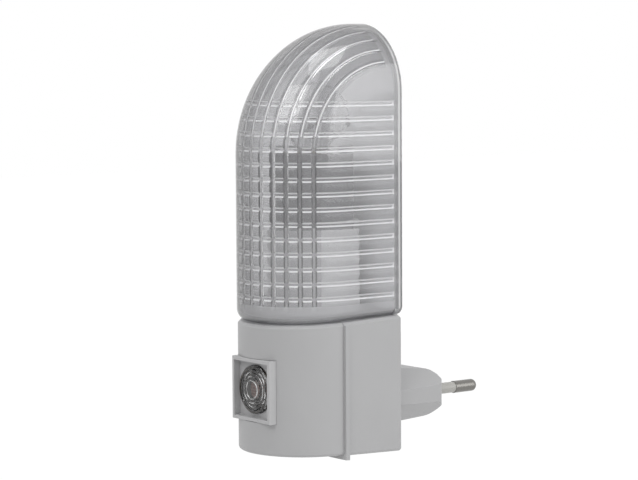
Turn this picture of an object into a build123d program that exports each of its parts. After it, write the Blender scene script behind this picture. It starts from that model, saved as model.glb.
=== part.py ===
from build123d import *

import math
import os

# A plug-in night light with a light sensor, a screw-in lamp and a clear ribbed lift-off shade.
# The origin lies where the plug's axis meets the wall plane. +Y points into the wall, +Z up.
# Sizes are in millimetres.

# Plan form: a half round front ahead of the seam, straight sides back to the wall plane
front_radius = 20.95
side_run = 23.5

# Base, measured at the seam: its top leans up to the wall, and its underside down behind the seam
base_height = 41.8
plug_axis_height = 15.3
rake_deg = 2.0
shell_wall = 1.8
back_wall = 2.0
rear_proud = 0.4
rear_drop = 0.2
bead_width = 1.5
bead_proud = 0.6
bead_drop = 1.3
deck_chamfer = 0.9
floor_round = 1.0
corner_round = 1.5
tab_width = 8.0
tab_length = 3.0
tab_thickness = 1.6
tab_spacing = 20.0
tab_fit = 0.1
overrun = 10.0

# Back panel behind the lamp, and the pad that bears on the wall socket
back_relief = 0.6
bearing_pad_height = 37.1
panel_thickness = 1.5
panel_fit = 0.3
pedestal_to_panel = 3.0

# Housing screws, driven from the back
screw_spacing = 26.0
screw_drop = 8.5
screw_radius = 1.45
screw_length = 15.0
screw_point = 1.5
screw_head_radius = 2.6
screw_head_height = 2.0
screw_recess = 13.0
screw_cross_width = 0.7
screw_cross_depth = 1.1
screw_fit = 0.1
screw_head_fit = 0.3
post_wall = 0.9
boss_radius = 3.2
pilot_spare = 0.6

# Two-pin plug
plug_length = 21.4
plug_root_height = 18.4
plug_nose_height = 14.8
plug_root_width = 35.4
plug_nose_width = 34.0
plug_end_flat = 4.4
plug_edge_round = 1.5
nose_round_share = 0.37
plug_side_round = 3.0
plug_core_wall = 2.4
plug_core_side = 1.2
nose_wall = 7.0
pin_spacing = 19.0
pin_radius = 2.0
pin_length = 19.0
pin_bare_length = 9.3
pin_tip_round = 1.6
pin_core_radius = 1.35
pin_tail = 3.0
sleeve_radius = 1.8
pin_fit = 0.05

# Sensor window
sensor_drop = 0.6
bezel_width = 20.0
bezel_rim = 1.2
bezel_proud = 0.1
bezel_recess = 2.4
bezel_plate = 1.4
bezel_edge_round = 0.35
bezel_fit = 0.1
lug_reach = 0.8
lug_width = 6.0
lug_thickness = 1.0
lens_radius = 7.7
lens_crown = 2.0
lens_wall = 1.1
lens_ring_step = 0.25
lens_ring_count = 3
lens_flange = 0.8
lens_flange_thickness = 1.0
lens_fit = 0.1
photocell_radius = 2.55
photocell_flat = 2.1
photocell_thickness = 2.0
photocell_gap = 0.5
photocell_stand = 5.55
photocell_lead_spacing = 3.4
lead_radius = 0.3

# Control board and the parts on its back
board_floor_gap = 3.0
board_to_boss = 1.8
board_thickness = 1.6
board_fit = 0.1
groove_depth = 1.0
rail_gap = 0.2
rail_wall = 1.4
part_gap = 0.3
lead_reach = 1.3
diode_radius = 1.35
diode_length = 5.2
diode_count = 4
resistor_radius = 1.15
resistor_length = 6.3
resistor_count = 3
diode_share = -0.5
resistor_share = 0.45
thyristor_radius = 2.3
thyristor_flat = 1.3
thyristor_height = 4.7
thyristor_stand = 3.0
thyristor_lead_pitch = 1.27

# Pedestal that carries the lamp holder above the deck
pedestal_height = 29.4
pedestal_radius = 14.5
pedestal_wall = 3.0
pedestal_top = 2.0
spigot_step = 1.5
spigot_drop = 2.2
spigot_fit = 0.15
catch_reach = 1.2
catch_width = 6.0
catch_thickness = 1.4
catch_gap = 0.3

# Lamp holder on its threaded nipple, with the two contacts
holder_height = 23.2
holder_radius = 12.75
holder_wall = 1.6
holder_floor = 3.0
holder_edge_round = 0.5
insulator_height = 19.5
insulator_wall = 1.5
shell_contact_height = 16.0
shell_contact_wall = 0.5
shell_contact_fit = 0.1
nipple_radius = 5.0
nipple_bore = 3.6
nipple_length = 3.5
nipple_fit = 0.1
nut_across_flats = 14.0
nut_thickness = 3.0
leaf_width = 3.0
leaf_thickness = 0.4
leaf_foot = 1.6
leaf_rise = 2.0
contact_gap = 0.6
wire_radius = 0.7
wire_bend = 4.0
wire_lead_in = 5.0

# Screw-in lamp
thread_pitch = 2.82
thread_radius = 6.85
thread_depth = 0.65
thread_turns = 4
thread_clearance = 0.3
cap_wall = 0.4
cap_skirt = 1.4
tip_radius = 3.2
tip_height = 1.2
tip_gap = 0.2
cone_height = 3.3
cone_seat = 0.8
cap_height = 15.3
glass_neck_gap = 0.1
glass_neck_depth = 5.5
glass_shoulder = 7.7
glass_straight = 1.1
bulb_radius = 12.0
glass_wall = 0.6
stem_radius = 2.6
stem_height = 11.0
stem_foot_thickness = 1.2
support_radius = 0.3
support_height = 6.5
support_spacing = 9.0
support_root_spacing = 3.0
filament_radius = 0.25
filament_sag = 2.4

# Clear shade over the lamp
shade_overhang = 0.3
shade_wall = 1.6
shade_height = 93.3
shade_round = 3.4
shade_lip = 1.6
lip_clearance = 1.2
seat_gap = 0.1
rim_setback = 0.1
dome_back = 3.5
rib_pitch = 4.65
rib_count = 14
rib_start = 7.75
rib_width = 1.8
rib_proud = 0.45
rib_back_margin = 2.6
flute_count = 11
flute_step_deg = 12.6
flute_stop_deg = 89.0
flute_start = 5.5
flute_radius = 0.95
flute_depth = 0.5
tongue_length = 8.0
tongue_thickness = 1.2
tongue_drop = 3.0
tongue_fit = 0.25
tongue_from_wall = 12.0

# Places that follow from the sizes above
seam_y = -side_run
base_bottom = -plug_axis_height
base_top = base_height - plug_axis_height
rake = math.tan(math.radians(rake_deg))
rear_half = front_radius + rear_proud
inner_radius = front_radius - shell_wall
reach_y = seam_y - front_radius - overrun
low_z = base_bottom - overrun
high_z = base_top + overrun
panel_front_y = -(back_relief + panel_thickness)
lamp_y = panel_front_y - pedestal_to_panel - pedestal_radius

screw_x = screw_spacing / 2
screw_z = base_top - screw_drop
post_radius = screw_head_radius + screw_head_fit + post_wall
screw_seat_y = -screw_recess

core_end_y = plug_length - nose_wall

sensor_z = base_bottom + base_height / 2 - sensor_drop
bezel_front_y = seam_y - front_radius - bezel_proud
plate_front_y = bezel_front_y + bezel_recess
plate_back_y = plate_front_y + bezel_plate
lug_x = bezel_width / 2 + lug_reach
lug_front_y = seam_y - math.sqrt(inner_radius ** 2 - lug_x ** 2) + bezel_fit
bezel_back_y = lug_front_y + lug_thickness
lens_crown_y = plate_front_y - lens_crown
lens_inner_y = lens_crown_y + lens_ring_count * lens_ring_step + lens_wall
photocell_y = lens_inner_y + photocell_gap
board_front_y = photocell_y + photocell_thickness + photocell_stand
board_back_y = board_front_y + board_thickness
board_width = 2 * (lug_x + rail_gap + groove_depth)
board_low_z = base_bottom + shell_wall + board_floor_gap
board_high_z = screw_z - boss_radius - board_to_boss
part_pitch = (board_high_z - board_low_z) / (diode_count + 1)

pedestal_z = base_top + pedestal_height
pedestal_bore = pedestal_radius - pedestal_wall
spigot_radius = pedestal_radius - spigot_step
holder_z = pedestal_z + holder_height
floor_top_z = pedestal_z + holder_floor
shell_inner = thread_radius + thread_clearance
shell_outer = shell_inner + shell_contact_wall
leaf_top_z = floor_top_z + leaf_rise + leaf_thickness

tip_z = leaf_top_z + tip_gap
cone_z = tip_z + tip_height
cap_z = cone_z + cone_height - cone_seat
cap_top_z = cap_z + cap_height
thread_root = thread_radius - thread_depth
neck_radius = thread_root - cap_wall - glass_neck_gap
shoulder_z = cap_top_z + glass_neck_gap
crown_z = shoulder_z + glass_shoulder + glass_straight

shade_radius = front_radius + shade_overhang
shade_inner = shade_radius - shade_wall
shade_top_z = base_top + shade_height
arch_z = shade_top_z - shade_radius
dome_z = arch_z - (side_run - dome_back)
lip_radius = pedestal_radius + lip_clearance
dome_axis = Axis((0, -dome_back, dome_z), (-1, 0, 0))

bottom_up = (Align.CENTER, Align.CENTER, Align.MIN)


def deck_z(y):
    """Height of the base's leaning top at a given depth."""
    return base_top + (y - seam_y) * rake


def floor_z(y):
    """Height of the base's underside at a given depth: level ahead of the seam, leaning behind it."""
    return base_bottom - max(y - seam_y, 0) * rake


def d_face(radius, back):
    """Plan outline: half round about the seam, straight sides to the given depth."""
    left, right = (-radius, seam_y), (radius, seam_y)
    arc = ThreePointArc(left, (0, seam_y - radius), right)
    return make_face([arc, Polyline(right, (radius, back), (-radius, back), left)])


def half_face(radius):
    """Plan outline of the half round ahead of the seam alone."""
    left, right = (-radius, seam_y), (radius, seam_y)
    return make_face([ThreePointArc(left, (0, seam_y - radius), right), Line(right, left)])


def arch_face(half, foot_z):
    """Upright outline with a half round top, as at the back of the shade."""
    arc = ThreePointArc((half, arch_z), (0, arch_z + half), (-half, arch_z))
    sides = Polyline((-half, arch_z), (-half, foot_z), (half, foot_z), (half, arch_z))
    return make_face([arc, sides])


def raised(face, low, high):
    """A plan outline pulled up between two heights."""
    return Pos(0, 0, low) * extrude(face, amount=high - low)


def block(x0, x1, y0, y1, z0, z1):
    """A box between two corners."""
    middle = Pos((x0 + x1) / 2, (y0 + y1) / 2, (z0 + z1) / 2)
    return middle * Box(x1 - x0, y1 - y0, z1 - z0)


def raked_block(front, back, half_width, floor_inset, deck_inset):
    """A block between the underside and the leaning deck, drawn in by the given insets."""
    stops = sorted({front, min(max(seam_y, front), back), back})
    floor = [(y, floor_z(y) + floor_inset) for y in stops]
    deck = [(y, deck_z(y) - deck_inset) for y in (back, front)]
    outline = Polyline(*floor, *deck, close=True)
    return extrude(Plane.YZ * make_face(outline), amount=half_width, both=True)


def under_deck(gap):
    """Everything below the deck's plane, raised by a gap, for seating pieces on it."""
    half = rear_half + overrun
    return raked_block(reach_y, overrun, half, -overrun, -gap)


def rod_y(radius, y0, y1, x, z):
    """A round bar along Y."""
    return Pos(x, y0, z) * Rot(-90, 0, 0) * Cylinder(radius, y1 - y0, align=bottom_up)


def rod_z(radius, z0, z1, y):
    """A round bar along Z on the mid plane."""
    return Pos(0, y, z0) * Cylinder(radius, z1 - z0, align=bottom_up)


def lathe(*edges):
    """A round piece on the lamp's axis, from its half section in radius and height."""
    return Pos(0, lamp_y, 0) * revolve(Plane.XZ * make_face(edges), Axis.Z)


def tube_z(outer, inner, z0, z1):
    """A plain tube on the lamp's axis."""
    section = Polyline((inner, z0), (outer, z0), (outer, z1), (inner, z1), close=True)
    return lathe(section)


def wire(points, bend):
    """A round wire along straight runs joined by tangent arcs."""
    path = FilletPolyline(*points, radius=bend)
    return sweep(Plane(path @ 0, z_dir=path % 0) * Circle(wire_radius), path)


def board_rail(side):
    """A grooved rail inside the front housing that holds one edge of the board."""
    x0 = side * (board_width / 2 - groove_depth)
    x1 = side * (board_width / 2 + rail_wall)
    low, high = min(x0, x1), max(x0, x1)
    rail = block(low, high, reach_y, board_back_y + rail_wall, low_z, board_high_z)
    groove_x = side * (board_width / 2 + board_fit)
    groove = block(
        min(side * lug_x, groove_x), max(side * lug_x, groove_x),
        board_front_y - board_fit, board_back_y + board_fit,
        board_low_z - board_fit, board_high_z + overrun,
    )
    return rail - groove


def front_housing():
    """Half round front shell with the sensor opening, board rails, screw bosses and locating tabs."""
    wide = front_radius + overrun
    body = raised(half_face(front_radius), low_z, high_z) & raked_block(reach_y, seam_y, wide, 0, 0)
    top_edges = body.faces().sort_by(Axis.Z)[-1].edges().filter_by(GeomType.LINE, reverse=True)
    body = chamfer(top_edges, deck_chamfer)
    low_edges = body.faces().sort_by(Axis.Z)[0].edges().filter_by(GeomType.LINE, reverse=True)
    body = fillet(low_edges, floor_round)
    cavity = raised(d_face(inner_radius, seam_y + overrun), low_z, high_z)
    cavity &= raked_block(reach_y, seam_y + overrun, wide, shell_wall, shell_wall)
    shell = body - cavity
    for side in (-1, 1):
        shell += board_rail(side) & body
        shell += rod_y(boss_radius, reach_y, seam_y, side * screw_x, screw_z) & body
    for side in (-1, 1):
        tip_y = screw_seat_y - screw_length - pilot_spare
        shell -= rod_y(screw_radius + screw_fit, tip_y, seam_y + overrun, side * screw_x, screw_z)
        shell += locating_tab(side)
    hole = bezel_width / 2 + bezel_fit
    shell -= block(-hole, hole, reach_y, lug_front_y, sensor_z - hole, sensor_z + hole)
    shell -= spigot_hole()
    return shell - tongue_front(tongue_fit)


def locating_tab(side):
    """A tab on the front housing's floor that reaches in over the rear cover's floor."""
    low = floor_z(seam_y) + shell_wall - rear_drop + tab_fit
    middle = side * tab_spacing / 2
    return block(
        middle - tab_width / 2, middle + tab_width / 2,
        seam_y - tab_length, seam_y + tab_length, low, low + tab_thickness,
    )


def spigot_low_z():
    """Height of the lower end of the pedestal's spigot, below the deck."""
    return deck_z(lamp_y) - shell_wall - spigot_drop


def spigot_hole():
    """The round hole in the deck that takes the pedestal's spigot."""
    return rod_z(spigot_radius + spigot_fit, spigot_low_z(), high_z, lamp_y)


def plug_profile(root, nose, rounding):
    """Tapered outline of the plug along its length, with the nose corners rounded."""
    outline = make_face(Polyline(
        (-back_wall / 2, root / 2), (plug_length, nose / 2),
        (plug_length, -nose / 2), (-back_wall / 2, -root / 2), close=True,
    ))
    return fillet(outline.vertices().sort_by(Axis.X)[-2:], rounding)


def plug_section():
    """Six-sided section of the plug, with its corners rounded."""
    x, z, flat = plug_root_width / 2, plug_root_height / 2, plug_end_flat / 2
    cut = z - flat
    outline = make_face(Polyline(
        (x, -flat), (x, flat), (x - cut, z), (cut - x, z),
        (-x, flat), (-x, -flat), (cut - x, -z), (x - cut, -z), close=True,
    ))
    return fillet(outline.vertices(), plug_edge_round)


def plug_body():
    """The plug's solid form: side outline, plan outline and section taken together."""
    side = extrude(
        Plane.YZ * plug_profile(plug_root_height, plug_nose_height, nose_round_share * plug_nose_height),
        amount=plug_root_width, both=True,
    )
    plan_plane = Plane(origin=(0, 0, 0), x_dir=(0, 1, 0), z_dir=(0, 0, -1))
    plan = extrude(
        plan_plane * plug_profile(plug_root_width, plug_nose_width, plug_side_round),
        amount=plug_root_height, both=True,
    )
    section = extrude(Plane.XZ * plug_section(), amount=plug_length + overrun, both=True)
    return side & plan & section


def on_pin(side, shape):
    """Places a shape drawn along +Z from the plug's nose onto one pin's axis."""
    return Pos(side * pin_spacing / 2, plug_length, 0) * Rot(-90, 0, 0) * shape


def back_panel():
    """The upright panel behind the lamp, with an arched top that follows the shade."""
    outline = arch_face(shade_inner - panel_fit, deck_z(0) - shell_wall)
    return extrude(Plane.XZ.offset(back_relief) * outline, amount=panel_thickness)


def rear_cover():
    """Straight rear shell with the seam bead, the plug, the back panel and the screw posts."""
    body = raked_block(seam_y, 0, rear_half, -rear_drop, 0)
    body = fillet(body.edges().filter_by(Axis.Z).group_by(Axis.Y)[-1], corner_round)
    body = fillet(body.faces().sort_by(Axis.Z)[0].edges().sort_by(Axis.Y)[1:], floor_round)
    body = chamfer(body.faces().sort_by(Axis.Z)[-1].edges().sort_by(Axis.Y)[1:], deck_chamfer)
    bead = raked_block(
        seam_y, seam_y + bead_width, rear_half + bead_proud, -(rear_drop + bead_drop), deck_chamfer
    )
    wide = rear_half - shell_wall
    cavity = raked_block(seam_y - overrun, -back_wall, wide, shell_wall - rear_drop, shell_wall)
    shell = body + bead - cavity + back_panel() + plug_body()
    for side in (-1, 1):
        shell += rod_y(post_radius, seam_y, -back_wall / 2, side * screw_x, screw_z)
    core_x = pin_spacing / 2 + pin_radius + plug_core_side
    core_z = plug_nose_height / 2 - plug_core_wall
    shell -= block(-core_x, core_x, -back_wall - overrun, core_end_y, -core_z, core_z)
    for side in (-1, 1):
        x = side * screw_x
        shell -= rod_y(screw_radius + screw_fit, seam_y - overrun, overrun, x, screw_z)
        shell -= rod_y(screw_head_radius + screw_head_fit, screw_seat_y, overrun, x, screw_z)
        bore = Cylinder(sleeve_radius + pin_fit, 2 * (nose_wall + overrun))
        shell -= on_pin(side, bore)
        shell -= tongue_side(side, tongue_fit)
    pad_top = base_bottom + bearing_pad_height
    shell -= block(-rear_half, rear_half, -back_relief, overrun, pad_top, shade_top_z)
    return shell - spigot_hole()


def housing_screws():
    """Two pan head screws that close the housing from the back."""
    tip = screw_seat_y - screw_length
    section = make_face(Polyline(
        (0, tip), (screw_radius, tip + screw_point), (screw_radius, screw_seat_y),
        (screw_head_radius, screw_seat_y), (screw_head_radius, screw_seat_y + screw_head_height),
        (0, screw_seat_y + screw_head_height), close=True,
    ))
    screw = revolve(section, Axis.Y)
    top = screw_seat_y + screw_head_height
    arm = screw_head_radius - screw_cross_width
    width = screw_cross_width / 2
    screw -= block(-arm, arm, top - screw_cross_depth, top, -width, width)
    screw -= block(-width, width, top - screw_cross_depth, top, -arm, arm)
    return [Pos(side * screw_x, 0, screw_z) * screw for side in (-1, 1)]


def plug_pin(side):
    """One plug pin: bare round end, thin core under the sleeve and a tail inside the plug."""
    bare_from = pin_length - pin_bare_length
    core = Pos(0, 0, -nose_wall - pin_tail) * Cylinder(
        pin_core_radius, nose_wall + pin_tail + bare_from, align=bottom_up
    )
    bare = Pos(0, 0, bare_from) * Cylinder(pin_radius, pin_bare_length, align=bottom_up)
    bare = fillet(bare.edges().sort_by(Axis.Z)[-1], pin_tip_round)
    return on_pin(side, core + bare)


def pin_sleeve(side):
    """Insulating sleeve on the root of a pin, seated through the plug's nose."""
    length = nose_wall + pin_length - pin_bare_length
    tube = Cylinder(sleeve_radius, length, align=bottom_up)
    tube -= Cylinder(pin_core_radius + pin_fit, length, align=bottom_up)
    return on_pin(side, Pos(0, 0, -nose_wall) * tube)


def sensor_bezel():
    """Square collar that snaps into the front housing and carries the round lens in its plate."""
    half = bezel_width / 2
    hollow = half - bezel_rim
    frame = block(-half, half, bezel_front_y, bezel_back_y, sensor_z - half, sensor_z + half)
    frame = fillet(frame.faces().sort_by(Axis.Y)[0].edges(), bezel_edge_round)
    frame -= block(
        -hollow, hollow, bezel_front_y - overrun, plate_front_y, sensor_z - hollow, sensor_z + hollow
    )
    frame -= block(
        -hollow, hollow, plate_back_y, bezel_back_y + overrun, sensor_z - hollow, sensor_z + hollow
    )
    frame -= rod_y(lens_radius + lens_fit, bezel_front_y, bezel_back_y, 0, sensor_z)
    for side in (-1, 1):
        x0, x1 = sorted((side * hollow, side * lug_x))
        lug_half = lug_width / 2
        frame += block(x0, x1, lug_front_y, bezel_back_y, sensor_z - lug_half, sensor_z + lug_half)
    return frame


def sensor_lens():
    """Clear round lens: a stepped crown through the plate and a flange behind it."""
    flange_back = plate_back_y + lens_flange_thickness
    ring = lens_radius / (lens_ring_count + 1)
    outline = [(0, lens_crown_y)]
    for step in range(1, lens_ring_count + 1):
        outline.append((step * ring, lens_crown_y + (step - 1) * lens_ring_step))
        outline.append((step * ring, lens_crown_y + step * lens_ring_step))
    outline.append((lens_radius, lens_crown_y + lens_ring_count * lens_ring_step))
    outline += [
        (lens_radius, plate_back_y), (lens_radius + lens_flange, plate_back_y),
        (lens_radius + lens_flange, flange_back), (lens_radius - lens_wall, flange_back),
        (lens_radius - lens_wall, lens_inner_y), (0, lens_inner_y),
    ]
    lens = revolve(make_face(Polyline(*outline, close=True)), Axis.Y)
    return Pos(0, 0, sensor_z) * lens


def photocell():
    """Round light sensor with two flats, facing the lens."""
    back = photocell_y + photocell_thickness
    disc = rod_y(photocell_radius, photocell_y, back, 0, sensor_z)
    return disc & block(
        -photocell_flat, photocell_flat, photocell_y, back,
        sensor_z - photocell_radius, sensor_z + photocell_radius,
    )


def photocell_leads():
    """Two straight leads between the light sensor and the board."""
    back = photocell_y + photocell_thickness
    half = photocell_lead_spacing / 2
    return [rod_y(lead_radius, back, board_front_y, 0, sensor_z + side * half) for side in (-1, 1)]


def control_board():
    """Board held upright in the front housing's rails."""
    half = board_width / 2
    return block(-half, half, board_front_y, board_back_y, board_low_z, board_high_z)


def axial_places(count, x_share):
    """Centres of a column of axial parts on the board's back, from its foot upward."""
    x = x_share * board_width / 2
    first = board_low_z + part_pitch / 2
    return [(x, first + place * part_pitch) for place in range(count)]


def axial_bodies(places, radius, length):
    """Bodies of axial parts, lying along X just clear of the board."""
    y = board_back_y + part_gap + radius
    return [Pos(x, y, z) * Rot(0, 90, 0) * Cylinder(radius, length) for x, z in places]


def axial_leads(places, radius, length):
    """Bent leads of axial parts, from each end of the body to the board."""
    leads = []
    y = board_back_y + part_gap + radius
    for x, z in places:
        for side in (-1, 1):
            x_body = x + side * length / 2
            x_foot = x_body + side * lead_reach
            run = Pos((x_body + x_foot) / 2, y, z) * Rot(0, 90, 0) * Cylinder(lead_radius, lead_reach)
            drop = rod_y(lead_radius, board_back_y, y, x_foot, z)
            leads.append(run + drop + Pos(x_foot, y, z) * Sphere(lead_radius))
    return leads


diode_places = axial_places(diode_count, diode_share)
resistor_places = axial_places(resistor_count, resistor_share)
thyristor_x = resistor_share * board_width / 2
thyristor_z = board_low_z + resistor_count * part_pitch + part_pitch / 2


def thyristor():
    """Small switching transistor: a flat-sided round body standing off the board."""
    y0 = board_back_y + thyristor_stand
    y1 = y0 + thyristor_height
    body = rod_y(thyristor_radius, y0, y1, thyristor_x, thyristor_z)
    flat = block(
        thyristor_x - thyristor_radius, thyristor_x + thyristor_radius, y0, y1,
        thyristor_z - thyristor_radius, thyristor_z + thyristor_flat,
    )
    return body & flat


def component_leads():
    """All the leads on the board's back."""
    leads = axial_leads(diode_places, diode_radius, diode_length)
    leads += axial_leads(resistor_places, resistor_radius, resistor_length)
    y1 = board_back_y + thyristor_stand
    for place in (-1, 0, 1):
        x = thyristor_x + place * thyristor_lead_pitch
        leads.append(rod_y(lead_radius, board_back_y, y1, x, thyristor_z))
    return leads


def lamp_pedestal():
    """White column on the deck: its spigot drops through the deck and catches under it."""
    column = tube_z(pedestal_radius, pedestal_bore, base_bottom, pedestal_z) - under_deck(0)
    column += tube_z(pedestal_radius, nipple_radius + nipple_fit, pedestal_z - pedestal_top, pedestal_z)
    column += tube_z(spigot_radius, pedestal_bore, spigot_low_z(), pedestal_z - pedestal_top)
    for side in (-1, 1):
        x0, x1 = sorted((side * (pedestal_bore + spigot_step / 2), side * (spigot_radius + catch_reach)))
        top = deck_z(lamp_y) - shell_wall - catch_gap
        column += block(
            x0, x1, lamp_y - catch_width / 2, lamp_y + catch_width / 2, top - catch_thickness, top
        )
    return column


def lamp_holder():
    """Holder body: floor with a threaded nipple, inner insulator and outer skirt."""
    low = pedestal_z - pedestal_top - nipple_length
    skirt = tube_z(holder_radius, holder_radius - holder_wall, pedestal_z, holder_z)
    skirt = fillet(skirt.edges().group_by(Axis.Z)[-1], holder_edge_round)
    inner = shell_outer + shell_contact_fit
    insulator = tube_z(inner + insulator_wall, inner, pedestal_z, pedestal_z + insulator_height)
    floor = tube_z(holder_radius - holder_wall / 2, nipple_bore, pedestal_z, floor_top_z)
    return skirt + floor + insulator + tube_z(nipple_radius, nipple_bore, low, floor_top_z)


def holder_nut():
    """Hexagon nut that draws the holder down onto the pedestal."""
    top = pedestal_z - pedestal_top
    blank = RegularPolygon(nut_across_flats / 2, 6, major_radius=False)
    nut = Pos(0, lamp_y, top - nut_thickness) * extrude(blank, amount=nut_thickness)
    return nut - rod_z(nipple_radius + nipple_fit, top - nut_thickness, top, lamp_y)


def shell_tab_y():
    """Depth of the inner end of the shell contact's solder tab."""
    return lamp_y + leaf_width / 2 + contact_gap


def holder_shell_contact():
    """Metal sleeve that takes the lamp's thread, with a solder tab over the nipple's bore."""
    sleeve = tube_z(shell_outer, shell_inner, floor_top_z, floor_top_z + shell_contact_height)
    half = leaf_width / 2
    tab_end = lamp_y + (shell_inner + shell_outer) / 2
    tab = block(-half, half, shell_tab_y(), tab_end, floor_top_z, floor_top_z + leaf_thickness)
    return sleeve + tab


def holder_centre_contact():
    """Bent spring leaf across the nipple's bore that meets the lamp's tip."""
    foot = nipple_bore + leaf_foot
    knee = nipple_bore
    crown = tip_radius / 2
    low, high = floor_top_z, floor_top_z + leaf_rise
    outline = Polyline(
        (-foot, low), (-knee, low), (-crown, high), (crown, high), (knee, low), (foot, low),
        (foot, low + leaf_thickness), (knee, low + leaf_thickness), (crown, high + leaf_thickness),
        (-crown, high + leaf_thickness), (-knee, low + leaf_thickness), (-foot, low + leaf_thickness),
        close=True,
    )
    leaf = extrude(Plane.XZ * make_face(outline), amount=leaf_width / 2, both=True)
    return Pos(0, lamp_y, 0) * leaf


def live_wire():
    """From the right pin's tail to the control board."""
    tail = Vector(pin_spacing / 2, core_end_y - pin_tail, 0)
    near = Vector(tail.X, -back_wall - wire_lead_in, 0)
    foot = Vector(thyristor_x, board_back_y, board_high_z - part_pitch / 2)
    return wire([tail, near, foot + Vector(0, wire_lead_in, 0), foot], wire_bend)


def neutral_wire():
    """From the left pin's tail up through the pedestal to the shell contact's tab."""
    tail = Vector(-pin_spacing / 2, core_end_y - pin_tail, 0)
    near = Vector(tail.X, -back_wall - wire_lead_in, 0)
    end = Vector(0, shell_tab_y() + wire_radius, floor_top_z)
    turn = Vector(end.X, end.Y, base_top - 2 * wire_lead_in)
    return wire([tail, near, turn, end], wire_bend)


def lamp_wire():
    """From the control board up through the pedestal to the centre contact."""
    start = Vector(diode_share * board_width / 2, board_back_y, board_high_z - part_pitch / 2)
    end = Vector(0, lamp_y - leaf_width / 2, floor_top_z + leaf_rise)
    turn = Vector(end.X, end.Y, base_top)
    return wire([start, start + Vector(0, wire_lead_in, 0), turn, end], wire_bend)


def bulb_contact_tip():
    """Round solder tip under the lamp's cap."""
    tip = rod_z(tip_radius, tip_z, cone_z, lamp_y)
    return fillet(tip.edges().sort_by(Axis.Z)[0], tip_height / 2)


def bulb_cap_insulator():
    """Dark glass cone between the tip and the threaded shell."""
    inner = thread_root - cap_wall
    top = cone_z + cone_height
    return lathe(Polyline(
        (0, cone_z), (tip_radius, cone_z), (inner, cap_z), (inner, top), (0, top), close=True
    ))


def bulb_screw_cap():
    """Threaded metal shell: rounded thread turns below a plain skirt."""
    edges = []
    z = cap_z
    point = (thread_root, z)
    for turn in range(thread_turns):
        crest = (thread_radius, z + thread_pitch / 2)
        following = (thread_root, z + thread_pitch)
        edges.append(ThreePointArc(point, crest, following))
        point = following
        z += thread_pitch
    inner = thread_root - cap_wall
    edges.append(Polyline(
        point, (thread_root, cap_top_z - cap_skirt), (thread_radius, cap_top_z - cap_skirt / 2),
        (thread_radius, cap_top_z), (inner, cap_top_z), (inner, cap_z), (thread_root, cap_z),
    ))
    return lathe(*edges)


def glass_side(inset):
    """Edges of the bulb's outline from its open neck to the crown, drawn in by an inset."""
    neck, belly = neck_radius - inset, bulb_radius - inset
    start, end = shoulder_z + inset, shoulder_z + glass_shoulder + inset
    half_turn = math.atan2(belly - neck, end - start)
    radius = (end - start) / (2 * math.sin(2 * half_turn))
    lower = JernArc((neck, start), (0, 1), radius, -math.degrees(2 * half_turn))
    upper = JernArc((belly, end), (0, -1), radius, -math.degrees(2 * half_turn))
    diagonal = belly * math.sqrt(0.5)
    crown = ThreePointArc((belly, crown_z), (diagonal, crown_z + diagonal), (0, crown_z + belly))
    neck_low = cap_top_z - glass_neck_depth
    return [Line((neck, neck_low), (neck, start)), lower, upper, Line((belly, end), (belly, crown_z)), crown]


def bulb_glass():
    """Clear bulb, open at the foot of its neck inside the cap."""
    neck_low = cap_top_z - glass_neck_depth
    mouth = Line((neck_radius - glass_wall, neck_low), (neck_radius, neck_low))
    crown = Line((0, crown_z + bulb_radius - glass_wall), (0, crown_z + bulb_radius))
    return lathe(*glass_side(0), *glass_side(glass_wall), mouth, crown)


def bulb_stem():
    """Glass stem that closes the bulb's neck and carries the filament's supports."""
    foot_low = cap_top_z - glass_neck_depth
    foot_high = foot_low + stem_foot_thickness
    foot_radius = neck_radius - glass_wall - glass_neck_gap
    return lathe(Polyline(
        (0, foot_low), (foot_radius, foot_low), (foot_radius, foot_high), (stem_radius, foot_high),
        (stem_radius, foot_low + stem_height), (0, foot_low + stem_height), close=True,
    ))


def support_top(side):
    """Upper end of one filament support."""
    z = cap_top_z - glass_neck_depth + stem_height + support_height
    return Vector(side * support_spacing / 2, lamp_y, z)


def bulb_supports():
    """Two wires that lean out from the stem to the filament's ends."""
    supports = []
    for side in (-1, 1):
        root = Vector(side * support_root_spacing / 2, lamp_y, cap_top_z - glass_neck_depth + stem_height)
        run = Line(root, support_top(side))
        leg = sweep(Plane(run @ 0, z_dir=run % 0) * Circle(support_radius), run)
        supports.append(leg & raised(Pos(0, lamp_y) * Circle(bulb_radius), root.Z, support_top(side).Z))
    return supports


def bulb_filament():
    """Thin bowed filament between the two supports."""
    lift = support_radius + filament_radius
    left, right = support_top(-1), support_top(1)
    rise = Vector(0, 0, lift)
    middle = Vector(0, lamp_y, left.Z + lift + filament_sag)
    arc = ThreePointArc(left + rise, middle, right + rise)
    return sweep(Plane(arc @ 0, z_dir=arc % 0) * Circle(filament_radius), arc)


def shade_form(radius):
    """The shade's closed form: the plan outline pulled up, turned over the top and run on to the wall."""
    straight = raised(d_face(radius, 0), base_bottom, dome_z)
    dome = revolve(Pos(0, 0, dome_z) * d_face(radius, -dome_back), dome_axis, 90)
    end = extrude(Plane.XZ * arch_face(radius, dome_z), amount=dome_back)
    return straight + dome + end


def cross_ribs():
    """Flat-topped ribs inside the wall, level round the front and both sides."""
    ring = shade_form((shade_radius + shade_inner) / 2) - shade_form(shade_inner - rib_proud)
    wide = shade_radius + overrun
    slabs = []
    for place in range(rib_count):
        z = base_top + rib_start + place * rib_pitch
        slabs.append(
            block(-wide, wide, reach_y, -rib_back_margin, z - rib_width / 2, z + rib_width / 2)
        )
    return ring & (Part() + slabs)


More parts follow.
